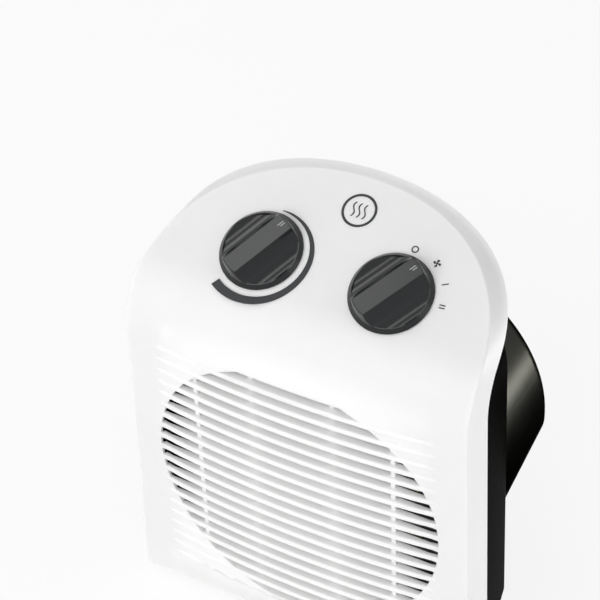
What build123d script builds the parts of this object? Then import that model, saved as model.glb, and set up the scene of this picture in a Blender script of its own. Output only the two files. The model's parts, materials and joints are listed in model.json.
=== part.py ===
from build123d import *
import os
from math import asin, atan, cos, degrees, radians, sin, sqrt, tan

os.makedirs("parts", exist_ok=True)

# Upright fan heater, millimetres. +Z is up, the grille faces -Y, and the origin is on
# the surface the heater stands on, below the middle of its outer box.

# Overall form: depths are measured back from the flat front face, heights up from the base.
base_half_width = 104.5
side_flare = 4.5
shoulder_height = 212.0
dome_rise = 45.0
dome_side_pull = 0.72
dome_top_pull = 0.51
corner_radius = 6.0
case_depth = 138.0
grille_bulge = 6.0
foot_height = 3.0

# Front face line, seen from the side: upright, bent back into the control panel.
bend_drop = 1.0
bend_radius = 42.8
panel_lean = 63.0
shell_wall = 1.8
face_edge_radius = 1.2

# Seam line where the white shell ends and the casing starts, seen from the side.
seam_depth = 23.0
seam_bend_drop = 5.9
seam_bend_radius = 42.0
seam_lean = 55.25

# Rear casing: a tapering body, then a deep drum with an arched top and a sloping underside.
casing_wall = 2.4
casing_step = 1.2
body_depth = 76.0
body_side_taper = 12.0
body_base_taper = 13.5
body_shoulder_drop = 42.0
body_dome_rise = 69.0
body_edge_radius = 5.0
drum_taper = 1.0
drum_arch_drop = 14.5
drum_floor_front = 55.0
drum_floor_rear = 69.5
drum_floor_radius = 20.0
drum_edge_radius = 9.0

# Grille: curved ribs across a bulged pad, open inside a circle.
rib_pitch = 8.29
rib_radius = 1.8
rib_land = 1.7
rib_curve = 674.0
rib_datum = 128.6
ribs_below = 13
ribs_above = 6
pad_setback = 0.9
pad_low = 4.0
pad_top_drop = 5.0
pad_ramp_low = 16.0
pad_ramp_high = 27.0
pad_sink = 0.1
rib_fade_start = 70.0
rib_fade_end = 84.0
outlet_radius = 85.0
stay_places = (-59.0, -24.0, 24.0, 59.0)
stay_width = 2.6
stay_front = -0.6
stay_rear = 3.8

# Intake slots in the drum's rear face.
intake_pitch = 8.0
intake_gap = 4.2
intake_border = 16.0
intake_bars = (-44.0, 0.0, 44.0)
intake_bar_width = 4.5
intake_first = 9
intake_last = 22

# Controls on the leaning panel.
knob_offset = 37.8
knob_climb = 44.6
knob_radius = 22.7
knob_top_radius = 20.8
knob_height = 9.0
knob_gap = 0.7
knob_skirt_height = 2.9
knob_rim = 1.3
grip_edge_radius = 0.5
grip_width = 11.0
grip_tip_radius = 19.4
scoop_radius = 11.0
scoop_floor = 2.0
thermostat_pointer = 28.5
selector_pointer = 32.8
spindle_radius = 3.0
spindle_flat = 0.8
running_clearance = 0.05
fit_clearance = 0.1
free_clearance = 0.3

control_bush_radius = 4.5
control_screw_place = 13.5
control_head_radius = 2.8
control_screw_length = 7.0
control_plate_length = 34.0
control_plate_width = 18.0
control_plate_thickness = 1.5
control_depth = 12.0
spindle_depth = 9.0
socket_depth = 7.0
pocket_place = 10.5
pocket_width = 8.0
pocket_length = 9.0
thermostat_body_radius = 10.5
thermostat_body_depth = 9.0
blade_stack_place = 7.0
blade_stack_height = 8.0
blade_strip_width = 6.0
blade_strip_length = 34.0
blade_strip_thickness = 0.8
switch_length = 32.0
switch_width = 30.0
switch_depth = 10.0
terminal_columns = (-11.0, 0.0, 11.0)
terminal_rows = (-9.0, 9.0)
tab_thickness = 0.8
tab_width = 6.3
tab_length = 8.0
tab_reach = 10.0

# Air path.
duct_wall = 2.0
duct_radius = 71.0
duct_front = 28.0
duct_flange = 2.5
duct_flange_border = 5.0
duct_rear = 68.0
duct_arm_width = 9.0
duct_arm_thickness = 4.0
post_inset = 8.0
post_radius = 4.0
screw_radius = 1.5
screw_head_radius = 3.2
screw_head_height = 2.2
blade_count = 5
fan_tip_gap = 2.0
fan_hub_radius = 14.0
fan_front = 38.0
fan_hub_length = 20.0
blade_thickness = 1.6
root_chord = 18.0
root_pitch = 50.0
middle_chord = 34.0
middle_pitch = 35.0
tip_chord = 46.0
tip_pitch = 24.0
clip_radius = 6.0
clip_thickness = 1.2
shaft_front = 34.0
shaft_rear = 119.0
duct_ring_radius = 38.0

# Heating element.
element_frame_thickness = 2.0
element_half_width = 58.0
element_half_height = 42.0
element_length = 112.0
element_thickness = 15.0
element_core = 6.0
element_fin_height = 15.0
element_fin_pitch = 5.0
element_fin_thickness = 1.0
element_front = 10.0
element_place = 20.0
element_rail = 1.0
fin_count = 22
cheek_place = 57.0
cheek_front = 8.8
cheek_lip = 3.0
cheek_lip_place = 55.5
cutout_spot = (-24.0, 58.0)
cutout_radius = 7.0
cutout_height = 9.0
cutout_flange_length = 24.0
cutout_flange_width = 8.0
fuse_spot = (22.0, 56.0)
fuse_radius = 2.0
fuse_length = 12.0
fuse_lead_radius = 0.5

# Shaded-pole motor.
motor_front = 74.0
stack_front = 84.0
stack_length = 20.0
stack_half_width = 30.0
stack_top = 46.0
stack_bottom = 24.0
rotor_overhang = 3.0
rotor_radius = 12.5
rotor_gap = 0.4
yoke_height = 11.0
window_half_width = 19.0
window_top = 18.0
coil_wrap = 8.0
shaft_radius = 2.5
bush_radius = 5.0
bush_length = 8.0
bracket_thickness = 2.5
bracket_half_width = 34.0
bracket_half_height = 9.0
bolt_place = 24.5

# Cord inlet, feet and casing screws.
inlet_height = 24.0
inlet_place = 52.0
inlet_radius = 6.5
cord_bore_radius = 3.6
foot_radius = 7.0
front_foot_depth = 12.0
rear_foot_depth = 62.0
foot_inset = 28.5
tube_radius = 5.0
tube_bore_radius = 3.8
tube_low_inset = 22.5
tube_low_height = 15.0
tube_high_inset = 26.0
tube_high_gap = 3.5
bushing_flange = 3.0
clamp_depth = 58.0
clamp_length = 26.0
clamp_width = 8.0
clamp_height = 6.0
block_depth = 52.0
block_length = 44.0
block_width = 18.0
block_height = 14.0
tube_seat = 36.0
pilot_depth = 14.0
screw_end_gap = 2.0
drum_root = 45.0
cut_overrun = 12.0

# Places and sizes that follow from the ones above.
shoulder_half_width = base_half_width - side_flare
bend_height = shoulder_height - bend_drop
seam_bend_height = bend_height - seam_bend_drop
body_half_width = shoulder_half_width - body_side_taper
body_base_half_width = base_half_width - body_base_taper
body_shoulder_height = shoulder_height - body_shoulder_drop
outlet_height = bend_height / 2
drum_half_width = body_half_width
drum_arch_height = outlet_height - drum_arch_drop
pad_high = bend_height - pad_top_drop
duct_flange_half = duct_radius + duct_flange_border
post_place = duct_flange_half - post_inset
fan_radius = duct_radius - duct_wall - fan_tip_gap
foot_place = base_half_width - foot_inset
tube_low = (base_half_width - tube_low_inset, tube_low_height)
tube_high = (
    shoulder_half_width - tube_high_inset,
    outlet_height + duct_flange_half + tube_radius + tube_high_gap,
)
front_y = (grille_bulge - case_depth) / 2
base_z = foot_height
lean = radians(panel_lean)
post_end = duct_front - element_frame_thickness
post_spots = [(x, y) for x in (-post_place, post_place) for y in (-post_place, post_place)]
tube_spots = [(way * x, y) for way in (-1, 1) for x, y in (tube_low, tube_high)]
clamp_spots = [(inlet_place + way * (clamp_length / 2 - 5), clamp_depth) for way in (-1, 1)]
control_spots = [(-knob_offset, knob_climb), (knob_offset, knob_climb)]
control_screw_spots = [
    (x + way * control_screw_place, y) for x, y in control_spots for way in (-1, 1)
]


def station(depth):
    """Upright plane facing the front, at a depth behind the flat front face."""
    return Plane(origin=(0, front_y + depth, base_z), x_dir=(1, 0, 0), z_dir=(0, -1, 0))


def level(height):
    """Level plane at a height above the base, with its origin on the front face."""
    return Plane(origin=(0, front_y, base_z + height))


side = Plane(origin=(0, front_y, base_z), x_dir=(0, 1, 0), z_dir=(1, 0, 0))
panel = Plane(
    origin=(0, front_y, base_z + bend_height), x_dir=(1, 0, 0), z_dir=(0, -cos(lean), sin(lean))
)
fan_axis = Plane(origin=(0, front_y, base_z + outlet_height), x_dir=(1, 0, 0), z_dir=(0, -1, 0))


def fan_station(depth):
    """Upright plane on the fan's axis, facing the front."""
    return fan_axis.offset(-depth)


def finish(piece, name):
    """Labels one finished piece and writes its file."""
    piece.part.label = name
    export_step(piece.part, f"parts/{name}.step")


# ---- Shared outlines ----------------------------------------------------------------


def dome_outline(depth, half, base_half, shoulder, rise, corner):
    """Front view of a dome: flared sides, one smooth curve each side and rounded lower corners."""
    side_rise = rise * dome_side_pull
    side_lean = side_rise * (base_half - half) / shoulder
    top = shoulder + rise
    with BuildSketch(station(depth)) as outline:
        with BuildLine():
            Bezier(
                (half, shoulder),
                (half - side_lean, shoulder + side_rise),
                (half * dome_top_pull, top),
                (0, top),
            )
            Polyline((0, top), (0, 0), (base_half, 0), (half, shoulder))
        make_face()
        mirror(about=Plane.YZ)
        feet = outline.vertices().filter_by(lambda v: abs(v.Y) < 0.01 and abs(v.X) > base_half / 2)
        fillet(feet, corner)
    return outline.sketch


def shell_outline(depth, inset):
    """The white shell's front outline, moved in by an inset, with the base left in place."""
    return dome_outline(
        depth,
        shoulder_half_width - inset,
        base_half_width - inset,
        shoulder_height,
        dome_rise - inset,
        max(corner_radius - inset, 1.0),
    )


def line_end(bend, slope):
    """Point beyond the dome's top on a line that leans back from a bend."""
    reach = (shoulder_height + dome_rise - bend[1]) / cos(slope) + cut_overrun
    return (bend[0] + reach * sin(slope), bend[1] + reach * cos(slope))


def face_line_points(inset):
    """Corner points of the face line, moved into the shell by an inset."""
    bend = (inset, bend_height - inset * tan(lean / 2))
    return bend, line_end(bend, lean)


def seam_line_points(shift):
    """Corner points of the seam line, moved forward by a shift."""
    slope = radians(seam_lean)
    bend = (seam_depth - shift, seam_bend_height + shift * tan(slope / 2))
    return bend, line_end(bend, slope)


def face_depth(height):
    """Depth of the face line at a height, up to the end of its bend."""
    above = max(height - (bend_height - bend_radius * tan(lean / 2)), 0)
    return bend_radius - sqrt(bend_radius**2 - above**2)


def region_behind_face(inset, floor, rear):
    """Side view region from the face line back to an upright line."""
    bend, top = face_line_points(inset)
    with BuildSketch(side) as region:
        with BuildLine():
            FilletPolyline((inset, floor), bend, top, radius=bend_radius - inset)
            Polyline(top, (rear, top[1]), (rear, floor), (inset, floor))
        make_face()
    return region.sketch


def region_behind_seam(shift, floor, rear):
    """Side view region from the seam line back to an upright line."""
    bend, top = seam_line_points(shift)
    with BuildSketch(side) as region:
        with BuildLine():
            FilletPolyline((bend[0], floor), bend, top, radius=seam_bend_radius + shift)
            Polyline(top, (rear, top[1]), (rear, floor), (bend[0], floor))
        make_face()
    return region.sketch


# ---- Countersunk screws that hold the controls, and their holes --------------------------


def countersunk_group(clearance):
    """Countersunk screws beside each control spindle, heads flush with the panel."""
    with BuildPart() as group:
        with BuildSketch(panel):
            with Locations(*control_screw_spots):
                Circle(screw_radius + clearance)
        extrude(amount=-control_screw_length)
        for x, y in control_screw_spots:
            with Locations(panel):
                with Locations((x, y, -(control_head_radius - screw_radius) / 2)):
                    Cone(
                        screw_radius + clearance,
                        control_head_radius + clearance,
                        control_head_radius - screw_radius,
                    )
    return group


control_screw_holes = countersunk_group(fit_clearance)

# ---- Front shell ----------------------------------------------------------------------

half_slab = base_half_width + 5
rib_heights = [rib_datum + rib_pitch * step for step in range(-ribs_below, ribs_above + 1)]
bulge_radius = rib_curve - pad_setback
bulge_centre = rib_curve - grille_bulge
pad_rise = grille_bulge - pad_setback + pad_sink
pad_reach = sqrt(bulge_radius**2 - (bulge_centre + pad_sink) ** 2)
pad_middle = pad_low + pad_ramp_low


def pad_section(height, share):
    """Plan view of the bulged pad at a height: an arc in front, ending just inside the wall."""
    root = face_depth(height) + pad_sink
    back = root + shell_wall - pad_sink
    with BuildSketch(level(height)) as plan:
        with BuildLine():
            ThreePointArc((-pad_reach, root), (0, root - pad_rise * share), (pad_reach, root))
            Polyline((pad_reach, root), (pad_reach, back), (-pad_reach, back), (-pad_reach, root))
        make_face()
    return plan.sketch


def pad_ramp(outer, inner):
    """Eases the bulge from nothing at the outer height to its full rise at the inner one."""
    steps = (0.02, 0.15, 0.3, 0.45, 0.6, 0.75, 0.9, 1.0)
    with BuildPart() as ramp:
        loft([
            pad_section(outer + (inner - outer) * step, step**2 * (3 - 2 * step)) for step in steps
        ])
    return ramp.part


with BuildPart() as grille_pad:
    extrude(pad_section(pad_middle, 1), amount=pad_high - pad_ramp_high - pad_middle)
    add(pad_ramp(pad_low, pad_middle))
    add(pad_ramp(pad_high, pad_high - pad_ramp_high))

with BuildPart() as rib_nose:
    # The nose follows the bulge, and each end dips back so it fades into the wall.
    crest_radius = rib_curve - rib_radius
    crest_depth = bulge_centre - sqrt(crest_radius**2 - rib_fade_start**2)
    fade_depth = rib_radius + pad_sink
    with BuildLine(level(0), mode=Mode.PRIVATE):
        crest = ThreePointArc(
            (-rib_fade_start, crest_depth),
            (0, bulge_centre - crest_radius),
            (rib_fade_start, crest_depth),
        )
        right_fade = TangentArc(
            (rib_fade_start, crest_depth), (rib_fade_end, fade_depth), tangent=crest % 1
        )
        left_fade = TangentArc(
            (-rib_fade_start, crest_depth), (-rib_fade_end, fade_depth), tangent=-(crest % 0)
        )
    for run in (crest, right_fade, left_fade):
        with BuildSketch(Plane(origin=run @ 0, z_dir=run % 0)):
            Circle(rib_radius)
        sweep(path=run)

# Upright stays that tie the ribs together from behind.
with BuildPart() as grille_stays:
    with BuildSketch(level(outlet_height - outlet_radius)):
        for place in stay_places:
            with Locations((place, (stay_front + stay_rear) / 2)):
                Rectangle(stay_width, stay_rear - stay_front)
    extrude(amount=2 * outlet_radius)
    with BuildSketch(fan_station(stay_rear + 1)):
        Circle(outlet_radius + stay_width)
    extrude(amount=3 * stay_rear, mode=Mode.INTERSECT)

with BuildPart() as outlet:
    with BuildSketch(fan_station(shell_wall + 1)):
        Circle(outlet_radius)
    extrude(amount=shell_wall + grille_bulge + 4)
with BuildPart() as outlet_slots:
    slot_height = rib_pitch - 2 * rib_land
    with Locations(*[level(height + rib_pitch / 2) for height in rib_heights]):
        Box(2 * outlet_radius, 4 * grille_bulge, slot_height)
    add(outlet.part, mode=Mode.INTERSECT)

with BuildPart() as shell_hollow:
    extrude(region_behind_face(shell_wall, shell_wall, case_depth), amount=half_slab, both=True)
    extrude(shell_outline(0, shell_wall), amount=-case_depth, mode=Mode.INTERSECT)

behind_seam = region_behind_seam(0, -cut_overrun, 2 * case_depth)

with BuildPart() as front_shell:
    # Outer form: the slab between the face line and the seam line, trimmed to the dome.
    extrude(region_behind_face(0, 0, case_depth), amount=half_slab, both=True)
    extrude(behind_seam, amount=half_slab, both=True, mode=Mode.SUBTRACT)
    extrude(shell_outline(0, 0), amount=-case_depth, mode=Mode.INTERSECT)
    front_faces = front_shell.faces().filter_by(lambda f: f.normal_at(f.center()).Y < -0.1)
    rim = [e for e in front_faces.edges() if sum(e in f.edges() for f in front_faces) == 1]
    fillet(rim, face_edge_radius)
    add(shell_hollow.part, mode=Mode.SUBTRACT)
    # Grille pad and ribs, then the slots.
    add(grille_pad.part)
    with Locations(*[(0, 0, height) for height in rib_heights]):
        add(rib_nose.part)
    add(outlet_slots.part, mode=Mode.SUBTRACT)
    # Upright stays behind the ribs.
    add(grille_stays.part)
    # Posts for the air path and bosses for the casing screws, each with its pilot hole.
    with BuildSketch(fan_station(shell_wall / 2)):
        with Locations(*post_spots):
            Circle(post_radius)
    extrude(amount=-(post_end - shell_wall / 2))
    with BuildSketch(station(shell_wall / 2)):
        with Locations(*tube_spots):
            Circle(tube_radius)
    extrude(amount=-(seam_depth - shell_wall / 2))
    with BuildSketch(fan_station(post_end)):
        with Locations(*post_spots):
            Circle(screw_radius + running_clearance)
    extrude(amount=pilot_depth, mode=Mode.SUBTRACT)
    with BuildSketch(station(seam_depth)):
        with Locations(*tube_spots):
            Circle(screw_radius + running_clearance)
    extrude(amount=pilot_depth, mode=Mode.SUBTRACT)
    # Holes in the control panel for the two bushes and their fixing screws.
    with BuildSketch(panel):
        with Locations(*control_spots):
            Circle(control_bush_radius + free_clearance)
    extrude(amount=-2 * shell_wall, mode=Mode.SUBTRACT)
    add(control_screw_holes.part, mode=Mode.SUBTRACT)
finish(front_shell, "front_shell")


# ---- Rear casing ------------------------------------------------------------------------


def body_form(inset):
    """Body lofted from the seam back to the rear wall, moved in by an inset."""
    front = dome_outline(
        seam_depth,
        shoulder_half_width - casing_step - inset,
        base_half_width - casing_step - inset,
        shoulder_height,
        dome_rise - casing_step - inset,
        corner_radius,
    )
    rear = dome_outline(
        body_depth - inset,
        body_half_width - inset,
        body_base_half_width - inset,
        body_shoulder_height,
        body_dome_rise - inset,
        corner_radius,
    )
    with BuildPart() as form:
        loft([front, rear])
        fillet(form.faces().sort_by(Axis.Y)[-1].edges(), body_edge_radius - inset)
    return form.part


def drum_outline(depth, inset):
    """Arched section of the drum at a depth, moved in by an inset."""
    back = depth - body_depth
    half = drum_half_width - back * tan(radians(drum_taper)) - inset
    rise = (drum_floor_rear - drum_floor_front) / (case_depth - body_depth)
    floor = drum_floor_front + back * rise + inset
    with BuildSketch(station(depth)) as outline:
        with BuildLine():
            CenterArc((0, drum_arch_height), half, 0, 180)
            Polyline(
                (-half, drum_arch_height), (-half, floor), (half, floor), (half, drum_arch_height)
            )
        make_face()
        fillet(outline.vertices().group_by(Axis.Y)[0], drum_floor_radius - inset)
    return outline.sketch


def drum_form(inset):
    """Drum lofted from inside the body to its rear face, with a rounded rear edge."""
    with BuildPart() as form:
        loft([drum_outline(drum_root, inset), drum_outline(case_depth - inset, inset)])
        fillet(form.faces().sort_by(Axis.Y)[-1].edges(), drum_edge_radius - inset)
    return form.part


# The lid closes the back of the control panel and nests inside the shell's wall.
with BuildPart() as seam_lid:
    lid_front = region_behind_seam(casing_wall, casing_wall, 2 * case_depth)
    extrude(lid_front, amount=half_slab, both=True)
    lid_rear = region_behind_seam(0, 0, 2 * case_depth + cut_overrun)
    extrude(lid_rear, amount=half_slab, both=True, mode=Mode.SUBTRACT)
    extrude(
        shell_outline(0, shell_wall + fit_clearance), amount=-case_depth, mode=Mode.INTERSECT
    )

with BuildPart() as body_hollow:
    add(body_form(casing_wall))
    extrude(shell_outline(seam_depth, casing_step + casing_wall), amount=seam_depth)
    with BuildSketch(side):
        with Locations((0, casing_wall)):
            Rectangle(2 * case_depth, 2 * case_depth, align=(Align.CENTER, Align.MIN))
    extrude(amount=half_slab, both=True, mode=Mode.INTERSECT)

# Level slots in the drum's rear face, crossed by upright bars.
with BuildPart() as intake_slots:
    extrude(drum_outline(case_depth + 1, intake_border), amount=casing_wall + 2)
    with BuildSketch(station(case_depth + 1)):
        with Locations(*[(0, intake_pitch * step) for step in range(intake_first, intake_last + 1)]):
            Rectangle(2 * drum_half_width, intake_pitch - intake_gap)
        with Locations(*[(place, drum_arch_height) for place in intake_bars]):
            Rectangle(intake_bar_width, 2 * drum_half_width)
    extrude(amount=casing_wall + 2, mode=Mode.SUBTRACT)

with BuildPart() as rear_casing:
    add(body_form(0))
    extrude(behind_seam, amount=half_slab, both=True, mode=Mode.INTERSECT)
    add(drum_form(0))
    add(seam_lid.part)
    add(body_hollow.part, mode=Mode.SUBTRACT)
    add(drum_form(casing_wall), mode=Mode.SUBTRACT)
    add(intake_slots.part, mode=Mode.SUBTRACT)
    # Screw tubes running forward to the seam, counterbored from behind.
    with BuildSketch(station(seam_depth)):
        with Locations(*tube_spots):
            Circle(tube_radius)
    extrude(amount=-(body_depth - casing_wall / 2 - seam_depth))
    with BuildSketch(station(seam_depth)):
        with Locations(*tube_spots):
            Circle(screw_radius + free_clearance)
    extrude(amount=-(body_depth - seam_depth + 1), mode=Mode.SUBTRACT)
    with BuildSketch(station(tube_seat)):
        with Locations(*tube_spots):
            Circle(tube_bore_radius)
    extrude(amount=-(body_depth - tube_seat + 1), mode=Mode.SUBTRACT)
    # Hole for the cord inlet bush, and a pedestal in front of it for the cord clamp.
    with BuildSketch(station(body_depth + 1)):
        with Locations((inlet_place, inlet_height)):
            Circle(inlet_radius)
    extrude(amount=3 * casing_wall, mode=Mode.SUBTRACT)
    with BuildSketch(level(casing_wall / 2)):
        with Locations((inlet_place, clamp_depth)):
            Rectangle(clamp_length, clamp_width)
    extrude(amount=inlet_height - casing_wall / 2)
    with BuildSketch(station(clamp_depth)):
        with Locations((inlet_place, inlet_height)):
            Circle(cord_bore_radius)
    extrude(amount=clamp_width, both=True, mode=Mode.SUBTRACT)
    with BuildSketch(level(inlet_height)):
        with Locations(*clamp_spots):
            Circle(screw_radius + running_clearance)
    extrude(amount=-pilot_depth, mode=Mode.SUBTRACT)
finish(rear_casing, "rear_casing")


# ---- Controls ---------------------------------------------------------------------------


def seat(spot, turn, lift):
    """Plane over a spindle: its y axis is the pointer's direction, turned clockwise."""
    return Plane(panel.location * Location((*spot, lift), (0, 0, -turn)))


def d_outline(clearance):
    """Round spindle end with one flat."""
    with BuildSketch() as outline:
        Circle(spindle_radius + clearance)
        with Locations((0, spindle_radius - spindle_flat + clearance)):
            Rectangle(
                4 * spindle_radius,
                2 * spindle_radius,
                align=(Align.CENTER, Align.MIN),
                mode=Mode.SUBTRACT,
            )
    return outline.sketch


def knob(spot, turn):
    """Low round skirt with a grip bar across it and a hollow scooped down on either side."""
    base = seat(spot, turn, knob_gap)
    height = knob_height - knob_gap
    skirt = knob_skirt_height - knob_gap
    scoop_rise = scoop_floor - knob_gap + scoop_radius
    scoop_offset = grip_width / 2 + sqrt(scoop_radius**2 - (scoop_rise - height) ** 2)
    rim_inner = knob_top_radius - grip_edge_radius
    upright = (Align.CENTER, Align.CENTER, Align.MIN)
    with BuildPart(base) as body:
        Cone(knob_top_radius + grip_edge_radius, grip_tip_radius, height, align=upright)
        with BuildPart(mode=Mode.PRIVATE) as scoops:
            with Locations((-scoop_offset, 0, scoop_rise), (scoop_offset, 0, scoop_rise)):
                Cylinder(scoop_radius, 2 * knob_radius, rotation=(90, 0, 0))
        add(scoops.part, mode=Mode.SUBTRACT)
        fillet(body.faces().sort_by(Axis(base.origin, base.z_dir))[-1].edges(), grip_edge_radius)
        with BuildPart(mode=Mode.PRIVATE) as disc:
            Cone(knob_radius, knob_top_radius, skirt, align=upright)
            Cylinder(rim_inner, 2 * skirt, align=upright, mode=Mode.SUBTRACT)
        add(disc.part)
        # Underside: socket for the spindle and two lightening pockets under the bar.
        with BuildSketch(base):
            add(d_outline(0))
        extrude(amount=socket_depth, mode=Mode.SUBTRACT)
        with BuildSketch(base):
            with Locations((0, -pocket_place), (0, pocket_place)):
                Rectangle(pocket_width, pocket_length)
        extrude(amount=height - 2 * knob_rim, mode=Mode.SUBTRACT)
    return body


def spindle(spot, turn):
    """Round spindle with a flat where the knob grips it."""
    base = seat(spot, turn, knob_gap)
    with BuildPart() as body:
        with BuildSketch(base):
            add(d_outline(0))
        extrude(amount=socket_depth)
        with BuildSketch(base):
            Circle(spindle_radius)
        extrude(amount=-(spindle_depth + knob_gap))
    return body


thermostat_spot, selector_spot = control_spots
thermostat_knob = knob(thermostat_spot, thermostat_pointer)
finish(thermostat_knob, "thermostat_knob")
selector_knob = knob(selector_spot, selector_pointer)
finish(selector_knob, "selector_knob")
thermostat_spindle = spindle(thermostat_spot, thermostat_pointer)
finish(thermostat_spindle, "thermostat_spindle")
selector_spindle = spindle(selector_spot, selector_pointer)
finish(selector_spindle, "selector_spindle")


def control_bracket(spot):
    """Plate under the panel with a bush round the spindle and two screw holes."""
    base = seat(spot, 0, -shell_wall)
    with BuildPart() as bracket:
        with BuildSketch(base):
            RectangleRounded(control_plate_length, control_plate_width, control_plate_width / 4)
        extrude(amount=-control_plate_thickness)
        with BuildSketch(base):
            Circle(control_bush_radius)
        extrude(amount=shell_wall)
        with BuildSketch(base):
            Circle(spindle_radius + running_clearance)
        extrude(amount=control_depth, both=True, mode=Mode.SUBTRACT)
        with BuildSketch(base):
            with Locations((-control_screw_place, 0), (control_screw_place, 0)):
                Circle(screw_radius + fit_clearance)
        extrude(amount=-control_plate_thickness, mode=Mode.SUBTRACT)
    return bracket


plate_under = -(shell_wall + control_plate_thickness)
thermostat_bracket = control_bracket(thermostat_spot)
finish(thermostat_bracket, "thermostat_bracket")
selector_bracket = control_bracket(selector_spot)
finish(selector_bracket, "selector_bracket")

# Thermostat: a ceramic post round the spindle with a stack of blades hung below it.
thermostat_base = seat(thermostat_spot, 0, plate_under)
with BuildPart() as thermostat_body:
    with BuildSketch(thermostat_base):
        Circle(thermostat_body_radius)
        with Locations((control_screw_place, 0), (-control_screw_place, 0)):
            Circle(control_head_radius, mode=Mode.SUBTRACT)
    extrude(amount=-thermostat_body_depth)
    with BuildSketch(thermostat_base):
        Circle(spindle_radius + free_clearance)
    extrude(amount=-(spindle_depth + plate_under + free_clearance), mode=Mode.SUBTRACT)
finish(thermostat_body, "thermostat_body")

hung = (Align.CENTER, Align.CENTER, Align.MAX)
with BuildPart(thermostat_base.offset(-thermostat_body_depth)) as thermostat_blades:
    with Locations((0, blade_stack_place, 0)):
        Box(blade_strip_width, blade_strip_width, blade_stack_height, align=hung)
    for share, reach in ((0.25, 1.0), (0.75, 0.8)):
        with Locations((0, blade_stack_place, -blade_stack_height * share)):
            Box(
                blade_strip_width,
                blade_strip_length * reach,
                blade_strip_thickness,
                align=(Align.CENTER, Align.MAX, Align.CENTER),
            )
finish(thermostat_blades, "thermostat_blades")

# Selector: a moulded switch block with a cam drum under it and spade terminals below.
selector_base = seat(selector_spot, 0, plate_under)
with BuildPart() as selector_body:
    with BuildSketch(selector_base):
        Circle(thermostat_body_radius)
        with Locations((control_screw_place, 0), (-control_screw_place, 0)):
            Circle(control_head_radius, mode=Mode.SUBTRACT)
    extrude(amount=-thermostat_body_depth)
    with BuildSketch(selector_base.offset(-thermostat_body_depth)):
        RectangleRounded(switch_length, switch_width, 2)
    extrude(amount=-switch_depth)
    with BuildSketch(selector_base):
        Circle(spindle_radius + free_clearance)
    extrude(amount=-(spindle_depth + plate_under + free_clearance), mode=Mode.SUBTRACT)
finish(selector_body, "selector_body")

with BuildPart(selector_base.offset(-thermostat_body_depth - switch_depth)) as selector_terminals:
    with Locations(*[(x, y, 0) for x in terminal_columns for y in terminal_rows]):
        Box(tab_thickness, tab_width, tab_length, align=hung)
finish(selector_terminals, "selector_terminals")

control_screws = countersunk_group(0)
finish(control_screws, "control_screws")


# ---- Heating element --------------------------------------------------------------------

window_width = 2 * (element_half_width - element_frame_thickness)
element_middle = element_front + element_thickness / 2
element_side = Plane(
    origin=(0, front_y + element_middle, base_z + outlet_height), x_dir=(0, 1, 0), z_dir=(1, 0, 0)
)

with BuildPart() as element_frame:
    with BuildSketch(fan_station(post_end)):
        RectangleRounded(2 * duct_flange_half, 2 * duct_flange_half, duct_flange)
        Rectangle(window_width, 2 * element_half_height, mode=Mode.SUBTRACT)
        with Locations(*post_spots):
            Circle(screw_radius + free_clearance, mode=Mode.SUBTRACT)
    extrude(amount=-element_frame_thickness)
    # Cheeks that hold the two element blocks by their ends, with slots for the terminals.
    with BuildSketch(fan_station(post_end)):
        with Locations((-cheek_place, 0), (cheek_place, 0)):
            Rectangle(element_frame_thickness, 2 * element_half_height)
    extrude(amount=post_end - cheek_front)
    with BuildSketch(fan_station(cheek_front)):
        with Locations((-cheek_lip_place, 0), (cheek_lip_place, 0)):
            Rectangle(cheek_lip, 2 * element_half_height)
    extrude(amount=-element_fin_thickness)
    with BuildSketch(element_side):
        with Locations((0, -element_place), (0, element_place)):
            Rectangle(tab_width + 2, element_core - 1)
    extrude(amount=2 * element_half_width, mode=Mode.SUBTRACT)
finish(element_frame, "element_frame")


def element_block(height):
    """Core of heating stones between two rows of upright fins, with a rail top and bottom."""
    half_height = element_core / 2 + element_fin_height
    rail_place = half_height - element_rail / 2
    with BuildPart() as block:
        with BuildSketch(fan_station(element_front)):
            with Locations((0, height)):
                Rectangle(element_length, element_core)
            with Locations((0, height - rail_place), (0, height + rail_place)):
                Rectangle(element_length, element_rail)
            with Locations((0, height)):
                with GridLocations(element_fin_pitch, 0, fin_count, 1):
                    Rectangle(element_fin_thickness, 2 * half_height)
        extrude(amount=-element_thickness)
    return block


ptc_element_upper = element_block(element_place)
finish(ptc_element_upper, "ptc_element_upper")
ptc_element_lower = element_block(-element_place)
finish(ptc_element_lower, "ptc_element_lower")

with BuildPart(element_side.offset(element_length / 2)) as element_terminals:
    with Locations((0, -element_place, 0), (0, element_place, 0)):
        Box(tab_width, tab_thickness, tab_reach, align=(Align.CENTER, Align.CENTER, Align.MIN))
finish(element_terminals, "element_terminals")

with BuildPart() as thermal_cutout:
    cutout_x, cutout_y = cutout_spot
    with BuildSketch(fan_station(post_end)):
        with Locations(cutout_spot):
            RectangleRounded(cutout_flange_length, cutout_flange_width, 2)
    extrude(amount=element_frame_thickness / 2)
    with BuildSketch(fan_station(post_end)):
        with Locations(cutout_spot):
            Circle(cutout_radius)
    extrude(amount=cutout_height)
    with BuildSketch(fan_station(post_end - cutout_height)):
        with Locations(*[(cutout_x + way * cutout_radius / 2, cutout_y) for way in (-1, 1)]):
            Rectangle(tab_thickness, tab_width)
    extrude(amount=tab_length / 2)
finish(thermal_cutout, "thermal_cutout")

with BuildPart(fan_station(post_end - fuse_radius)) as thermal_fuse:
    with Locations(fuse_spot):
        Cylinder(fuse_radius, fuse_length, rotation=(0, 90, 0))
        Cylinder(fuse_lead_radius, 2.5 * fuse_length, rotation=(0, 90, 0))
finish(thermal_fuse, "thermal_fuse")

# ---- Fan duct ---------------------------------------------------------------------------

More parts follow.
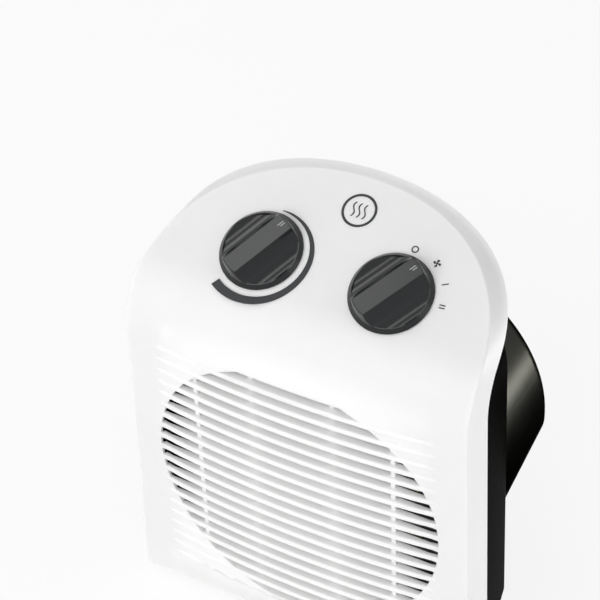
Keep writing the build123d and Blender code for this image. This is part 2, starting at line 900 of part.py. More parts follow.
with BuildPart() as fan_duct:
    with BuildSketch(fan_station(duct_front)):
        RectangleRounded(2 * duct_flange_half, 2 * duct_flange_half, duct_flange)
        Circle(duct_radius - duct_wall, mode=Mode.SUBTRACT)
        with Locations(*post_spots):
            Circle(screw_radius + free_clearance, mode=Mode.SUBTRACT)
    extrude(amount=-duct_flange)
    with BuildSketch(fan_station(duct_front)):
        Circle(duct_radius)
        Circle(duct_radius - duct_wall, mode=Mode.SUBTRACT)
    extrude(amount=-(duct_rear - duct_front))
    # Four arms and a ring at the back carry the motor on two standoffs.
    with BuildSketch(fan_station(duct_rear - duct_arm_thickness)):
        with PolarLocations((duct_ring_radius + duct_radius - duct_wall) / 2, 4):
            Rectangle(duct_radius - duct_ring_radius + duct_wall, duct_arm_width)
        Circle(duct_ring_radius)
        Circle(duct_ring_radius - 2 * duct_arm_width, mode=Mode.SUBTRACT)
    extrude(amount=-duct_arm_thickness)
    with BuildSketch(fan_station(duct_rear)):
        with Locations((-bolt_place, 0), (bolt_place, 0)):
            Circle(post_radius)
    extrude(amount=-(motor_front - duct_rear))
    with BuildSketch(fan_station(motor_front)):
        with Locations((-bolt_place, 0), (bolt_place, 0)):
            Circle(screw_radius + running_clearance)
    extrude(amount=motor_front, mode=Mode.SUBTRACT)
finish(fan_duct, "fan_duct")


def pan_screw(plane, spots, length):
    """Pan-head screws: heads stand behind the plane, shanks run forward from it."""
    with BuildPart() as group:
        with BuildSketch(plane):
            with Locations(*spots):
                Circle(screw_head_radius)
        extrude(amount=-screw_head_height)
        fillet(group.faces().sort_by(Axis.Y)[-len(spots):].edges(), screw_head_height / 3)
        with BuildSketch(plane):
            with Locations(*spots):
                Circle(screw_radius)
        extrude(amount=length)
        with BuildSketch(plane.offset(-screw_head_height)):
            with Locations(*spots):
                Rectangle(screw_head_radius, screw_radius / 2)
                Rectangle(screw_radius / 2, screw_head_radius)
        extrude(amount=screw_head_height / 2, mode=Mode.SUBTRACT)
    return group


duct_screws = pan_screw(
    fan_station(duct_front + duct_flange),
    post_spots,
    duct_flange + element_frame_thickness + pilot_depth - screw_end_gap,
)
finish(duct_screws, "duct_screws")

# ---- Fan --------------------------------------------------------------------------------


def blade_section(radius, chord, pitch):
    """Blade section at a radius on the upright spoke: a thin strip set at a pitch angle."""
    middle = front_y + fan_front + fan_hub_length / 2
    with BuildSketch(Plane.XY.offset(base_z + outlet_height + radius)) as section:
        with Locations((0, middle)):
            Rectangle(chord, blade_thickness, rotation=pitch)
    return section.sketch


with BuildPart() as fan_blade:
    loft([
        blade_section(fan_hub_radius - 3, root_chord, root_pitch),
        blade_section((fan_hub_radius + fan_radius) / 2, middle_chord, middle_pitch),
        blade_section(fan_radius + 2, tip_chord, tip_pitch),
    ])
    with BuildSketch(fan_station(fan_front)):
        Circle(fan_radius)
    extrude(amount=-fan_hub_length, mode=Mode.INTERSECT)

with BuildPart() as fan_impeller:
    with BuildSketch(fan_station(fan_front)):
        Circle(fan_hub_radius)
    extrude(amount=-fan_hub_length)
    fillet(fan_impeller.edges().group_by(Axis.Y)[0], blade_thickness * 2)
    fan_line = Axis((0, 0, base_z + outlet_height), (0, 1, 0))
    for step in range(blade_count):
        add(fan_blade.part.rotate(fan_line, 360 / blade_count * step))
    with BuildSketch(fan_station(fan_front + fan_hub_length)):
        Circle(fan_hub_radius - 2 * blade_thickness)
        Circle(shaft_radius + 2 * blade_thickness, mode=Mode.SUBTRACT)
    extrude(amount=fan_hub_length / 2, mode=Mode.SUBTRACT)
    with BuildSketch(fan_station(fan_front)):
        Circle(shaft_radius)
    extrude(amount=-fan_hub_length, mode=Mode.SUBTRACT)
finish(fan_impeller, "fan_impeller")

with BuildPart() as impeller_clip:
    with BuildSketch(fan_station(fan_front)):
        Circle(clip_radius)
        Circle(shaft_radius, mode=Mode.SUBTRACT)
    extrude(amount=clip_thickness)
finish(impeller_clip, "impeller_clip")

with BuildPart() as motor_shaft:
    with BuildSketch(fan_station(shaft_front)):
        Circle(shaft_radius)
    extrude(amount=-(shaft_rear - shaft_front))
    chamfer(motor_shaft.edges(), shaft_radius / 5)
finish(motor_shaft, "motor_shaft")

# ---- Motor ------------------------------------------------------------------------------

stack_rear = stack_front + stack_length

with BuildPart() as motor_rotor:
    with BuildSketch(fan_station(stack_front - rotor_overhang)):
        Circle(rotor_radius)
        Circle(shaft_radius, mode=Mode.SUBTRACT)
    extrude(amount=-(stack_length + 2 * rotor_overhang))
    rotor_rims = motor_rotor.edges().filter_by(GeomType.CIRCLE).group_by(SortBy.RADIUS)[-1]
    chamfer(rotor_rims, rotor_overhang / 3)
finish(motor_rotor, "motor_rotor")

with BuildPart() as motor_stator:
    with BuildSketch(fan_station(stack_front)):
        with Locations((0, (stack_top - stack_bottom) / 2)):
            RectangleRounded(2 * stack_half_width, stack_top + stack_bottom, rotor_gap * 5)
        Circle(rotor_radius + rotor_gap, mode=Mode.SUBTRACT)
        with Locations((0, (window_top + stack_top - yoke_height) / 2)):
            Rectangle(2 * window_half_width, stack_top - yoke_height - window_top, mode=Mode.SUBTRACT)
        with Locations((-bolt_place, 0), (bolt_place, 0)):
            Circle(screw_radius + free_clearance, mode=Mode.SUBTRACT)
    extrude(amount=-stack_length)
finish(motor_stator, "motor_stator")

with BuildPart(fan_station(stack_front + stack_length / 2)) as motor_coil:
    with Locations((0, stack_top - yoke_height / 2, 0)):
        Box(2 * window_half_width - 1, yoke_height + 2 * coil_wrap, stack_length + 2 * coil_wrap)
        fillet(motor_coil.edges().filter_by(Axis.X), coil_wrap / 2)
        Box(2 * window_half_width, yoke_height, stack_length, mode=Mode.SUBTRACT)
finish(motor_coil, "motor_coil")


def motor_bracket(plate_front, spacer_front, spacer_length):
    """Cross plate with a hole for the bush and two spacers that meet the stack."""
    with BuildPart() as bracket:
        with BuildSketch(fan_station(plate_front)):
            SlotOverall(2 * bracket_half_width, 2 * bracket_half_height)
        extrude(amount=-bracket_thickness)
        with BuildSketch(fan_station(spacer_front)):
            with Locations((-bolt_place, 0), (bolt_place, 0)):
                Circle(post_radius)
        extrude(amount=-spacer_length)
        with BuildSketch(fan_station(plate_front)):
            Circle(bush_radius)
            with Locations((-bolt_place, 0), (bolt_place, 0)):
                Circle(screw_radius + free_clearance)
        extrude(amount=spacer_length + bracket_thickness, both=True, mode=Mode.SUBTRACT)
    return bracket


spacer = stack_front - motor_front - bracket_thickness
rear_plate = stack_rear + spacer
motor_front_bracket = motor_bracket(motor_front, motor_front + bracket_thickness, spacer)
finish(motor_front_bracket, "motor_front_bracket")
motor_rear_bracket = motor_bracket(rear_plate, stack_rear, spacer)
finish(motor_rear_bracket, "motor_rear_bracket")

with BuildPart() as motor_bushes:
    for plate in (motor_front, rear_plate):
        with BuildSketch(fan_station(plate - (bush_length - bracket_thickness) / 2)):
            Circle(bush_radius)
            Circle(shaft_radius + running_clearance, mode=Mode.SUBTRACT)
        extrude(amount=-bush_length)
finish(motor_bushes, "motor_bushes")

motor_screws = pan_screw(
    fan_station(rear_plate + bracket_thickness),
    [(-bolt_place, 0), (bolt_place, 0)],
    rear_plate + bracket_thickness - duct_rear + duct_arm_thickness / 2,
)
finish(motor_screws, "motor_screws")

# ---- Cord inlet, wiring block, feet and casing screws -----------------------------------

with BuildPart() as cord_bushing:
    for front, length, radius in (
        (body_depth, bushing_flange, inlet_radius + bushing_flange),
        (body_depth - casing_wall, casing_wall, inlet_radius),
        (body_depth - casing_wall - bushing_flange, bushing_flange, inlet_radius + bushing_flange / 2),
    ):
        with BuildSketch(station(front)):
            with Locations((inlet_place, inlet_height)):
                Circle(radius)
        extrude(amount=-length)
    fillet(cord_bushing.edges().group_by(Axis.Y)[-1], bushing_flange / 3)
    with BuildSketch(station(body_depth)):
        with Locations((inlet_place, inlet_height)):
            Circle(cord_bore_radius)
    extrude(amount=3 * bushing_flange, both=True, mode=Mode.SUBTRACT)
finish(cord_bushing, "cord_bushing")

with BuildPart() as cord_clamp:
    with Locations((inlet_place, front_y + clamp_depth, base_z + inlet_height)):
        Box(clamp_length, clamp_width, clamp_height, align=(Align.CENTER, Align.CENTER, Align.MIN))
        Cylinder(cord_bore_radius, 2 * clamp_width, rotation=(90, 0, 0), mode=Mode.SUBTRACT)
    with BuildSketch(level(inlet_height)):
        with Locations(*clamp_spots):
            Circle(screw_radius + free_clearance)
    extrude(amount=2 * clamp_height, mode=Mode.SUBTRACT)
finish(cord_clamp, "cord_clamp")

with BuildPart() as clamp_screws:
    with BuildSketch(level(inlet_height + clamp_height)):
        with Locations(*clamp_spots):
            Circle(screw_head_radius)
    extrude(amount=screw_head_height)
    with BuildSketch(level(inlet_height + clamp_height)):
        with Locations(*clamp_spots):
            Circle(screw_radius)
    extrude(amount=-(clamp_height + pilot_depth - screw_end_gap))
finish(clamp_screws, "clamp_screws")

with BuildPart() as terminal_block:
    with Locations((-inlet_place, front_y + block_depth, base_z + casing_wall)):
        Box(block_length, block_width, block_height, align=(Align.CENTER, Align.CENTER, Align.MIN))
    with BuildSketch(level(casing_wall + block_height)):
        with Locations((-inlet_place, block_depth)):
            with GridLocations(block_length / 4, 0, 4, 1):
                Circle(screw_head_radius)
    extrude(amount=-block_height / 2, mode=Mode.SUBTRACT)
    with BuildSketch(station(block_depth)):
        with Locations((-inlet_place, casing_wall + block_height / 3)):
            with GridLocations(block_length / 4, 0, 4, 1):
                Circle(screw_radius)
    extrude(amount=block_width, both=True, mode=Mode.SUBTRACT)
finish(terminal_block, "terminal_block")

casing_screws = pan_screw(station(tube_seat), tube_spots, tube_seat - seam_depth + pilot_depth - screw_end_gap)
finish(casing_screws, "casing_screws")

for end, foot_depth in (("front", front_foot_depth), ("rear", rear_foot_depth)):
    for hand, place in (("left", -foot_place), ("right", foot_place)):
        with BuildPart() as foot:
            with BuildSketch(level(0)):
                with Locations((place, foot_depth)):
                    Circle(foot_radius)
            extrude(amount=-foot_height)
            fillet(foot.edges().group_by(Axis.Z)[0], foot_height / 3)
        finish(foot, f"foot_{end}_{hand}")
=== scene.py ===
import bpy
import json
from math import cos, pi, radians, sin
from mathutils import Matrix, Vector


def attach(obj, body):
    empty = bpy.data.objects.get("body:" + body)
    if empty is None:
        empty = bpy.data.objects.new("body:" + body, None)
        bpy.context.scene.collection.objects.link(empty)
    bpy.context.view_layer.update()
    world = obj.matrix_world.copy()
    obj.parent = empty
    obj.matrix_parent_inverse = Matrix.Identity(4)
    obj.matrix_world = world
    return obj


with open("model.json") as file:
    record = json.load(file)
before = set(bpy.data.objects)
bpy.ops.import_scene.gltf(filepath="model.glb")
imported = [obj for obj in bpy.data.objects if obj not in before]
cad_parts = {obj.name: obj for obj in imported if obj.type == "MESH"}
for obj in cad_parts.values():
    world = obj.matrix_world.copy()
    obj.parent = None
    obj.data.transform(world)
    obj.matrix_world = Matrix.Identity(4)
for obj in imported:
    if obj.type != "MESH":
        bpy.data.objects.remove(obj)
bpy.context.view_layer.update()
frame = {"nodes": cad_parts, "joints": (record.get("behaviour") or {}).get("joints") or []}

# ---- Studio -----------------------------------------------------------------------------
# The heater stands on a pale floor under broad soft lamps. The viewer stands in front, to
# the right of it and well above it, so the leaning control panel is seen almost square on.
eye_place = (0.430827, -0.774984, 0.959788)
eye_right = Vector((0.8727168, 0.4870723, -0.0335556))
eye_up = Vector((-0.2959608, 0.5824476, 0.7570746))
eye_back = eye_right.cross(eye_up).normalized()

camera_data = bpy.data.cameras.new("studio_camera")
camera_data.lens = 132.45
camera_data.sensor_width = 36.0
camera_data.clip_end = 20.0
camera = bpy.data.objects.new("studio_camera", camera_data)
bpy.context.collection.objects.link(camera)
eye_turn = Matrix((eye_right, eye_up, eye_back)).transposed().to_4x4()
camera.matrix_world = Matrix.Translation(eye_place) @ eye_turn
bpy.context.scene.camera = camera
bpy.context.scene.view_settings.view_transform = "Standard"


def lamp(name, place, target, width, height, power):
    """A rectangular soft lamp aimed at a point, out of the camera's sight."""
    light = bpy.data.lights.new(name, "AREA")
    light.shape = "RECTANGLE"
    light.size = width
    light.size_y = height
    light.energy = power
    holder = bpy.data.objects.new(name, light)
    bpy.context.collection.objects.link(holder)
    holder.location = place
    holder.rotation_euler = (Vector(target) - Vector(place)).to_track_quat("-Z", "Y").to_euler()
    holder.visible_camera = False


heater_middle = (0, 0, 0.12)
heater_top = (0, 0, 0.2)
drum_side = (0, 0.04, 0.12)

# The high front softbox does most of the work and lights the troughs of the grille.
lamp("front_softbox", (-0.3, -1.9, 1.3), heater_middle, 2.2, 1.8, 29.0)
# Three weaker lamps lift the right side, the top and the left side.
lamp("right_softbox", (2.2, -0.2, 1.1), heater_middle, 1.2, 1.2, 3.6)
lamp("overhead_softbox", (-0.8, -0.3, 2.0), heater_top, 0.4, 0.4, 2.0)
lamp("left_softbox", (-1.5, 0.4, 1.4), heater_top, 0.6, 0.6, 3.2)
# A low strip behind the heater is what the sheen along the drum mirrors.
lamp("rear_strip", (0.47, 0.38, 0.04), drum_side, 0.3, 0.07, 1.5)

# How bright the room is for the heater, and how much of the floor's white is plain white
# to the eye; the rest is lit paint, which keeps the heater's shadow.
room_light = 0.45
backdrop_share = 0.84


def seen_directly(tree):
    """True for rays from the eye and for rays that a glossy or clear surface sends on."""
    rays = tree.nodes.new("ShaderNodeLightPath")
    total = rays.outputs["Is Camera Ray"]
    for kind in ("Is Glossy Ray", "Is Transmission Ray"):
        either = tree.nodes.new("ShaderNodeMath")
        either.operation = "MAXIMUM"
        tree.links.new(total, either.inputs[0])
        tree.links.new(rays.outputs[kind], either.inputs[1])
        total = either.outputs[0]
    return total


world = bpy.data.worlds.new("pale_room")
bpy.context.scene.world = world
world.use_nodes = True
sky = world.node_tree
sky.nodes.clear()
sky_out = sky.nodes.new("ShaderNodeOutputWorld")
sky_mix = sky.nodes.new("ShaderNodeMixShader")
sky_light = sky.nodes.new("ShaderNodeBackground")
sky_light.inputs["Color"].default_value = (1, 1, 1, 1)
sky_light.inputs["Strength"].default_value = room_light
sky_seen = sky.nodes.new("ShaderNodeBackground")
sky_seen.inputs["Color"].default_value = (1, 1, 1, 1)
sky_seen.inputs["Strength"].default_value = 1.0
sky.links.new(seen_directly(sky), sky_mix.inputs["Fac"])
sky.links.new(sky_light.outputs[0], sky_mix.inputs[1])
sky.links.new(sky_seen.outputs[0], sky_mix.inputs[2])
sky.links.new(sky_mix.outputs[0], sky_out.inputs[0])

floor_reach = 6.0
floor_mesh = bpy.data.meshes.new("studio_floor")
floor_corners = [
    (x * floor_reach, y * floor_reach, 0) for x, y in ((-1, -1), (1, -1), (1, 1), (-1, 1))
]
floor_mesh.from_pydata(floor_corners, [], [(0, 1, 2, 3)])
studio_floor = bpy.data.objects.new("studio_floor", floor_mesh)
bpy.context.collection.objects.link(studio_floor)
floor_paint = bpy.data.materials.new("pale_floor")
floor_paint.use_nodes = True
paint = floor_paint.node_tree
paint_shader = paint.nodes["Principled BSDF"]
paint_shader.inputs["Base Color"].default_value = (0.95, 0.95, 0.95, 1)
paint_shader.inputs["Roughness"].default_value = 0.8
paint_white = paint.nodes.new("ShaderNodeEmission")
paint_white.inputs["Strength"].default_value = 1.0
paint_share = paint.nodes.new("ShaderNodeMath")
paint_share.operation = "MULTIPLY"
paint_share.inputs[1].default_value = backdrop_share
paint_mix = paint.nodes.new("ShaderNodeMixShader")
paint.links.new(seen_directly(paint), paint_share.inputs[0])
paint.links.new(paint_share.outputs[0], paint_mix.inputs["Fac"])
paint.links.new(paint_shader.outputs[0], paint_mix.inputs[1])
paint.links.new(paint_white.outputs[0], paint_mix.inputs[2])
paint.links.new(paint_mix.outputs[0], paint.nodes["Material Output"].inputs["Surface"])
floor_mesh.materials.append(floor_paint)


# ---- Front shell ------------------------------------------------------------------------
# One injection moulding in white plastic: a domed face that bends back into the control
# panel, with a bulged grille of level ribs across the air outlet. It lets a little light
# into its walls, as thin white mouldings do, and is screwed on from behind.
def plastic(name, colour, roughness, grain_scale, grain_depth, mottling=0.015, lustre=0.5):
    """Moulded plastic: a fine grain from the mould's face and a faint uneven tone."""
    finish = bpy.data.materials.new(name)
    finish.use_nodes = True
    tree = finish.node_tree
    shader = tree.nodes["Principled BSDF"]
    shader.inputs["Specular IOR Level"].default_value = lustre
    where = tree.nodes.new("ShaderNodeTexCoord")
    tone = tree.nodes.new("ShaderNodeTexNoise")
    tone.inputs["Scale"].default_value = 18.0
    tone.inputs["Detail"].default_value = 3.0
    ramp = tree.nodes.new("ShaderNodeValToRGB")
    ramp.color_ramp.elements[0].position = 0.3
    ramp.color_ramp.elements[1].position = 0.7
    ramp.color_ramp.elements[0].color = (*[max(0.0, c * (1 - mottling)) for c in colour], 1)
    ramp.color_ramp.elements[1].color = (*[min(1.0, c * (1 + mottling)) for c in colour], 1)
    gloss = tree.nodes.new("ShaderNodeMapRange")
    gloss.inputs["To Min"].default_value = roughness * 0.9
    gloss.inputs["To Max"].default_value = roughness * 1.1
    grain = tree.nodes.new("ShaderNodeTexNoise")
    grain.inputs["Scale"].default_value = grain_scale
    grain.inputs["Detail"].default_value = 2.0
    bump = tree.nodes.new("ShaderNodeBump")
    bump.inputs["Strength"].default_value = 0.25
    bump.inputs["Distance"].default_value = grain_depth
    tree.links.new(where.outputs["Object"], tone.inputs["Vector"])
    tree.links.new(where.outputs["Object"], grain.inputs["Vector"])
    tree.links.new(tone.outputs["Fac"], ramp.inputs["Fac"])
    tree.links.new(ramp.outputs["Color"], shader.inputs["Base Color"])
    tree.links.new(tone.outputs["Fac"], gloss.inputs["Value"])
    tree.links.new(gloss.outputs["Result"], shader.inputs["Roughness"])
    tree.links.new(grain.outputs["Fac"], bump.inputs["Height"])
    tree.links.new(bump.outputs["Normal"], shader.inputs["Normal"])
    return finish


def dress(finish, *nodes):
    """Gives carried-over nodes their finish."""
    for node in nodes:
        frame["nodes"][node].data.materials.clear()
        frame["nodes"][node].data.materials.append(finish)


white_plastic = plastic(
    "white_plastic", (0.93, 0.93, 0.925),
    roughness=0.45, grain_scale=1400.0, grain_depth=0.00004, lustre=0.25,
)
white_shader = white_plastic.node_tree.nodes["Principled BSDF"]
white_shader.inputs["Subsurface Weight"].default_value = 0.6
white_shader.inputs["Subsurface Radius"].default_value = (1.0, 1.0, 1.0)
white_shader.inputs["Subsurface Scale"].default_value = 0.004
dress(white_plastic, "front_shell")

# ---- Panel marks ------------------------------------------------------------------------
# Dark grey ink printed on the control panel: the selector's four positions, the growing
# crescent of the thermostat's scale, and a ring with three waves for warm air. Marks are
# placed on the panel's face, from the middle between the two dials, which their joints give.
turning = {joint["child"]: joint for joint in frame["joints"]}
thermostat_spot = Vector(turning["thermostat"]["pos_m"])
selector_spot = Vector(turning["selector"]["pos_m"])
panel_origin = (thermostat_spot + selector_spot) / 2
panel_out = -Vector(turning["selector"]["axis"]).normalized()
panel_right = (selector_spot - thermostat_spot).normalized()
panel_up = panel_out.cross(panel_right)
dial_offset = (selector_spot - thermostat_spot).length / 2
thermostat_centre = (-dial_offset, 0.0)
selector_centre = (dial_offset, 0.0)
ink_height = 0.00006
ink_sunk = 0.00004


def printed(outlines):
    """Raised ink films: each outline, a list of panel points, becomes one thin solid."""
    corners, faces = [], []
    for outline in outlines:
        start, count = len(corners), len(outline)
        for rise in (-ink_sunk, ink_height):
            for x, y in outline:
                corners.append(panel_origin + panel_right * x + panel_up * y + panel_out * rise)
        faces.append(tuple(start + i for i in reversed(range(count))))
        faces.append(tuple(start + count + i for i in range(count)))
        for i in range(count):
            j = (i + 1) % count
            faces.append((start + i, start + j, start + count + j, start + count + i))
    return corners, faces


def around(centre, radius, turn):
    """The panel point at a radius and an angle, clockwise from straight up."""
    return (centre[0] + radius * sin(radians(turn)), centre[1] + radius * cos(radians(turn)))


def band(centre, inner, outer, first, last, steps):
    """Outlines that follow a ring from one angle to another. Its radii may vary with the angle."""
    quads = []
    for i in range(steps):
        a = first + (last - first) * i / steps
        b = first + (last - first) * (i + 1) / steps
        edges = ((inner, a), (inner, b), (outer, b), (outer, a))
        quads.append([around(centre, radius(angle), angle) for radius, angle in edges])
    return quads


def ring(centre, inner, outer, steps):
    """Outlines of a full, even ring."""
    return band(centre, lambda angle: inner, lambda angle: outer, 0, 360, steps)


def bar(centre, length, width, turn):
    """A straight stroke that points along an angle, clockwise from straight up."""
    along = Vector((sin(radians(turn)), cos(radians(turn))))
    across = Vector((along.y, -along.x))
    middle = Vector(centre)
    return [
        tuple(middle + along * length / 2 * a + across * width / 2 * b)
        for a, b in ((-1, -1), (-1, 1), (1, 1), (1, -1))
    ]


prints = []
mark_radius = 0.0278
dash_width = 0.0006

# Off: an open ring, a little nearer the dial than the other marks.
off_centre = around(selector_centre, 0.0267, 3.2)
prints += ring(off_centre, 0.0013, 0.0020, 32)

# Cool air: a small four-bladed fan on a round hub. Each blade is a row of radii and sweeps.
cool_centre = around(selector_centre, mark_radius, 34.0)
blade_edge = (
    (0.0003, 50), (0.0008, -26), (0.0016, -22), (0.0022, -2),
    (0.0022, 26), (0.0017, 32), (0.0010, 22),
)
for blade_turn in range(0, 360, 90):
    prints.append([around(cool_centre, radius, blade_turn + sweep) for radius, sweep in blade_edge])
prints += ring(cool_centre, 0.00002, 0.00055, 12)

# Low heat: one dash. Full heat: two.
prints.append(bar(around(selector_centre, mark_radius, 60.5), 0.0036, dash_width, 62.0))
for turn in (84.5, 87.7):
    prints.append(bar(around(selector_centre, mark_radius, turn), 0.0032, dash_width, 86.0))

# The thermostat's scale: a crescent that starts as a hairline and widens towards full heat.
scale_radius = 0.0245
scale_easing = 0.0016
hairline = 0.0001
scale_growth = 0.0031
scale_start = 2.0
scale_end = 214.0


def scale_inside(angle):
    """The crescent's inner edge moves away from the dial over the first quarter turn."""
    return scale_radius + scale_easing * sin(radians(min(angle, 90))) ** 2


def scale_outside(angle):
    """The crescent's outer edge, which widens fast at first and then slowly."""
    return scale_inside(angle) + hairline + scale_growth * (angle / 100) ** 0.6


prints += band(thermostat_centre, scale_inside, scale_outside, scale_start, scale_end, 96)

# Warm air: a ring with three rising waves in it.
ring_centre = (0.0021, 0.0376)
wave_gap = 0.0032
wave_height = 0.0084
wave_swing = 0.0009
wave_stroke = 0.0008
wave_steps = 14
prints += ring(ring_centre, 0.0082, 0.0096, 64)
for place in (-wave_gap, 0.0, wave_gap):
    wave = []
    for i in range(wave_steps + 1):
        share = i / wave_steps
        wave.append((
            ring_centre[0] + place + wave_swing * sin(2 * pi * share),
            ring_centre[1] + wave_height * (share - 0.5),
        ))
    half = wave_stroke / 2
    for (ax, ay), (bx, by) in zip(wave, wave[1:]):
        prints.append([(ax - half, ay), (ax + half, ay), (bx + half, by), (bx - half, by)])

ink = bpy.data.materials.new("grey_ink")
ink.use_nodes = True
ink_tree = ink.node_tree
ink_shader = ink_tree.nodes["Principled BSDF"]
ink_shader.inputs["Roughness"].default_value = 0.5
ink_where = ink_tree.nodes.new("ShaderNodeTexCoord")
ink_specks = ink_tree.nodes.new("ShaderNodeTexNoise")
ink_specks.inputs["Scale"].default_value = 2500.0
ink_tone = ink_tree.nodes.new("ShaderNodeValToRGB")
ink_tone.color_ramp.elements[0].color = (0.008, 0.009, 0.011, 1)
ink_tone.color_ramp.elements[1].color = (0.018, 0.019, 0.022, 1)
ink_tree.links.new(ink_where.outputs["Object"], ink_specks.inputs["Vector"])
ink_tree.links.new(ink_specks.outputs["Fac"], ink_tone.inputs["Fac"])
ink_tree.links.new(ink_tone.outputs["Color"], ink_shader.inputs["Base Color"])

corners, faces = printed(prints)
mark_mesh = bpy.data.meshes.new("panel_marks")
mark_mesh.from_pydata(corners, [], faces)
panel_marks = bpy.data.objects.new("panel_marks", mark_mesh)
bpy.context.collection.objects.link(panel_marks)
mark_mesh.materials.append(ink)
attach(panel_marks, "housing")

# ---- Rear casing ------------------------------------------------------------------------
# A black moulding screwed to the shell from behind: a tapering body and a deep drum that
# holds the motor, with intake slots in its back. Its satin skin has the same faint sheen at
# every angle, which a very dark reflecting surface with no bright edge gives.
black_plastic = plastic(
    "black_plastic", (0.042, 0.042, 0.039),
    roughness=0.26, grain_scale=1100.0, grain_depth=0.00005, mottling=0.1,
)
black_shader = black_plastic.node_tree.nodes["Principled BSDF"]
black_shader.inputs["Metallic"].default_value = 1.0
black_shader.inputs["Specular Tint"].default_value = (0, 0, 0, 1)
dress(black_plastic, "rear_casing")

# ---- Knobs ------------------------------------------------------------------------------
# Two charcoal dials with a grip bar across each, pushed onto flatted spindles. Two short
# pale dashes near one end of the bar are the pointer, which turns with its dial.
charcoal_plastic = plastic(
    "charcoal_plastic", (0.008, 0.009, 0.010),
    roughness=0.2, grain_scale=1300.0, grain_depth=0.00003, mottling=0.05, lustre=0.34,
)
dress(charcoal_plastic, "thermostat_knob", "selector_knob")

pale_ink = plastic(
    "pale_ink", (0.38, 0.41, 0.41),
    roughness=0.45, grain_scale=2500.0, grain_depth=0.00002, mottling=0.08,
)
pointer_radius = 0.0159
pointer_gap = 0.0013
pointer_shift = 0.0005
pointer_width = 0.0005
long_dash = 0.0038
short_dash = 0.0027


def pointer(name, knob, centre, turn, body):
    """Two dashes along the bar, one of them shorter, as a thin film on the bar's top."""
    knob_points = frame["nodes"][knob].data.vertices
    bar_top = max((point.co - panel_origin).dot(panel_out) for point in knob_points)
    middle = around(centre, pointer_radius, turn)
    long_place = around(middle, pointer_gap / 2, turn - 90)
    short_place = around(around(middle, pointer_shift, turn), pointer_gap / 2, turn + 90)
    corners, faces = printed([
        bar(long_place, long_dash, pointer_width, turn),
        bar(short_place, short_dash, pointer_width, turn),
    ])
    mesh = bpy.data.meshes.new(name)
    mesh.from_pydata([corner + panel_out * bar_top for corner in corners], [], faces)
    mesh.materials.append(pale_ink)
    film = bpy.data.objects.new(name, mesh)
    bpy.context.collection.objects.link(film)
    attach(film, body)


pointer("thermostat_pointer", "thermostat_knob", thermostat_centre, 28.5, "thermostat")
pointer("selector_pointer", "selector_knob", selector_centre, 32.8, "selector")

# ---- Controls behind the panel ----------------------------------------------------------
# Plated spindles in sheet brackets, which countersunk screws hold to the panel from the
# front. The thermostat is a ceramic post with spring blades, and the selector a moulded
# switch with spade terminals.
def metal(name, colour, roughness, grain_scale, stretch=(1, 1, 1)):
    """Bare or plated metal with a fine rolled or drawn grain."""
    finish = bpy.data.materials.new(name)
    finish.use_nodes = True
    tree = finish.node_tree
    shader = tree.nodes["Principled BSDF"]
    shader.inputs["Metallic"].default_value = 1.0
    where = tree.nodes.new("ShaderNodeTexCoord")
    lie = tree.nodes.new("ShaderNodeMapping")
    lie.inputs["Scale"].default_value = stretch
    grain = tree.nodes.new("ShaderNodeTexNoise")
    grain.inputs["Scale"].default_value = grain_scale
    grain.inputs["Detail"].default_value = 3.0
    ramp = tree.nodes.new("ShaderNodeValToRGB")
    ramp.color_ramp.elements[0].color = (*[c * 0.85 for c in colour], 1)
    ramp.color_ramp.elements[1].color = (*[min(1.0, c * 1.1) for c in colour], 1)
    gloss = tree.nodes.new("ShaderNodeMapRange")
    gloss.inputs["To Min"].default_value = roughness * 0.75
    gloss.inputs["To Max"].default_value = roughness * 1.25
    tree.links.new(where.outputs["Object"], lie.inputs["Vector"])
    tree.links.new(lie.outputs["Vector"], grain.inputs["Vector"])
    tree.links.new(grain.outputs["Fac"], ramp.inputs["Fac"])
    tree.links.new(grain.outputs["Fac"], gloss.inputs["Value"])
    tree.links.new(ramp.outputs["Color"], shader.inputs["Base Color"])
    tree.links.new(gloss.outputs["Result"], shader.inputs["Roughness"])
    return finish


plated_steel = metal("plated_steel", (0.62, 0.62, 0.61), roughness=0.3, grain_scale=900.0)
zinc_sheet = metal(
    "zinc_sheet", (0.68, 0.68, 0.66),
    roughness=0.42, grain_scale=260.0, stretch=(1, 4, 1),
)
spring_brass = metal(
    "spring_brass", (0.72, 0.56, 0.28),
    roughness=0.3, grain_scale=700.0, stretch=(1, 6, 1),
)
cream_ceramic = plastic(
    "cream_ceramic", (0.80, 0.76, 0.68),
    roughness=0.7, grain_scale=700.0, grain_depth=0.00008, mottling=0.04,
)
dark_moulding = plastic(
    "dark_moulding", (0.03, 0.03, 0.03),
    roughness=0.5, grain_scale=900.0, grain_depth=0.00005, mottling=0.08,
)
dress(plated_steel, "thermostat_spindle", "selector_spindle", "control_screws")
dress(zinc_sheet, "thermostat_bracket", "selector_bracket")
dress(spring_brass, "thermostat_blades", "selector_terminals")
dress(cream_ceramic, "thermostat_body")
dress(dark_moulding, "selector_body")

# ---- Heating element --------------------------------------------------------------------
# Two ceramic blocks between bright fins, gripped by a heat-resistant frame, with a cut-out
# and a thermal fuse beside them.
bright_fins = metal(
    "bright_fins", (0.74, 0.74, 0.75),
    roughness=0.28, grain_scale=500.0, stretch=(1, 1, 8),
)
dress(dark_moulding, "element_frame", "thermal_cutout")
dress(bright_fins, "ptc_element_upper", "ptc_element_lower")
dress(spring_brass, "element_terminals")
dress(plated_steel, "thermal_fuse")

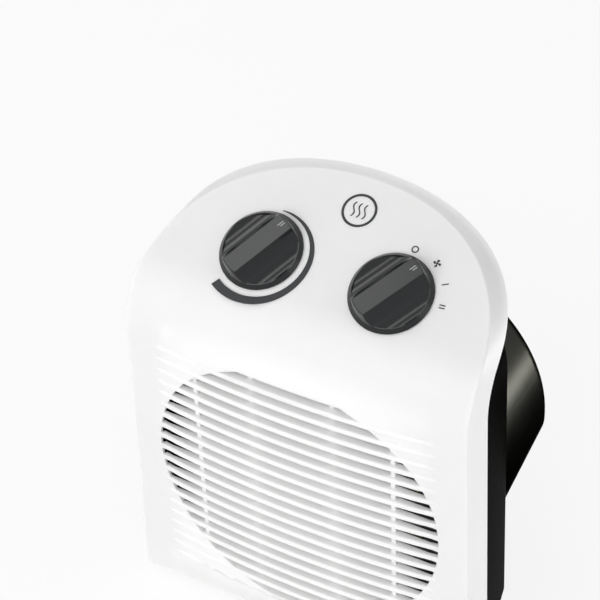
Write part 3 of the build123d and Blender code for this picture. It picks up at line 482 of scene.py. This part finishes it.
# ---- Fan duct and fan -------------------------------------------------------------------
# A dark moulded duct carries the motor behind a five-bladed moulded fan, held on the shaft
# by a spring clip.
duct_plastic = plastic(
    "duct_plastic", (0.022, 0.022, 0.024),
    roughness=0.55, grain_scale=800.0, grain_depth=0.00006, mottling=0.1,
)
fan_plastic = plastic(
    "fan_plastic", (0.016, 0.016, 0.018),
    roughness=0.4, grain_scale=900.0, grain_depth=0.00004, mottling=0.08,
)
dress(duct_plastic, "fan_duct")
dress(fan_plastic, "fan_impeller")
dress(plated_steel, "duct_screws", "impeller_clip", "motor_shaft")

# ---- Motor ------------------------------------------------------------------------------
# A shaded-pole motor: a stack of stamped sheets with a wound and taped coil on its yoke,
# a cast rotor, and a sheet bracket with a sintered bush at each end.
def layered(name, colour, roughness, pitch, direction, depth, metallic):
    """Fine parallel layers, such as stamped sheets or turns of wire."""
    finish = bpy.data.materials.new(name)
    finish.use_nodes = True
    tree = finish.node_tree
    shader = tree.nodes["Principled BSDF"]
    shader.inputs["Metallic"].default_value = metallic
    shader.inputs["Roughness"].default_value = roughness
    where = tree.nodes.new("ShaderNodeTexCoord")
    layers = tree.nodes.new("ShaderNodeTexWave")
    layers.bands_direction = direction
    pitch_at_scale_one = 2 * pi / 20
    layers.inputs["Scale"].default_value = pitch_at_scale_one / pitch
    layers.inputs["Distortion"].default_value = 0.15
    ramp = tree.nodes.new("ShaderNodeValToRGB")
    ramp.color_ramp.elements[0].color = (*[c * 0.6 for c in colour], 1)
    ramp.color_ramp.elements[1].color = (*colour, 1)
    bump = tree.nodes.new("ShaderNodeBump")
    bump.inputs["Strength"].default_value = 0.5
    bump.inputs["Distance"].default_value = depth
    tree.links.new(where.outputs["Object"], layers.inputs["Vector"])
    tree.links.new(layers.outputs["Fac"], ramp.inputs["Fac"])
    tree.links.new(layers.outputs["Fac"], bump.inputs["Height"])
    tree.links.new(ramp.outputs["Color"], shader.inputs["Base Color"])
    tree.links.new(bump.outputs["Normal"], shader.inputs["Normal"])
    return finish


stamped_sheets = layered(
    "stamped_sheets", (0.42, 0.42, 0.43),
    roughness=0.4, pitch=0.0005, direction="Y", depth=0.0001, metallic=1.0,
)
enamelled_wire = layered(
    "enamelled_wire", (0.50, 0.20, 0.07),
    roughness=0.35, pitch=0.0004, direction="X", depth=0.0001, metallic=0.6,
)
cast_rotor = metal("cast_rotor", (0.66, 0.66, 0.67), roughness=0.45, grain_scale=400.0)
sintered_bronze = metal("sintered_bronze", (0.55, 0.40, 0.22), roughness=0.5, grain_scale=1500.0)
dress(stamped_sheets, "motor_stator")
dress(enamelled_wire, "motor_coil")
dress(cast_rotor, "motor_rotor")
dress(zinc_sheet, "motor_front_bracket", "motor_rear_bracket")
dress(sintered_bronze, "motor_bushes")
dress(plated_steel, "motor_screws")

# ---- Cord inlet and wiring block --------------------------------------------------------
# A black rubber bush snapped into the casing's back, a moulded clamp inside with two
# screws, and a cream block with four ways for the wires, each below an open screw well.
soft_rubber = plastic(
    "soft_rubber", (0.018, 0.018, 0.018),
    roughness=0.75, grain_scale=600.0, grain_depth=0.00008, mottling=0.1,
)
dress(soft_rubber, "cord_bushing")
dress(dark_moulding, "cord_clamp")
dress(cream_ceramic, "terminal_block")
dress(plated_steel, "clamp_screws")

# ---- Feet and casing screws -------------------------------------------------------------
# Four short round feet in pale soft rubber, stuck under the base, and four plated screws
# down the casing's tubes that pull the casing and the shell together.
pale_rubber = plastic(
    "pale_rubber", (0.72, 0.72, 0.71),
    roughness=0.7, grain_scale=600.0, grain_depth=0.00008, mottling=0.04, lustre=0.3,
)
dress(pale_rubber, "foot_front_left", "foot_front_right", "foot_rear_left", "foot_rear_right")
dress(plated_steel, "casing_screws")
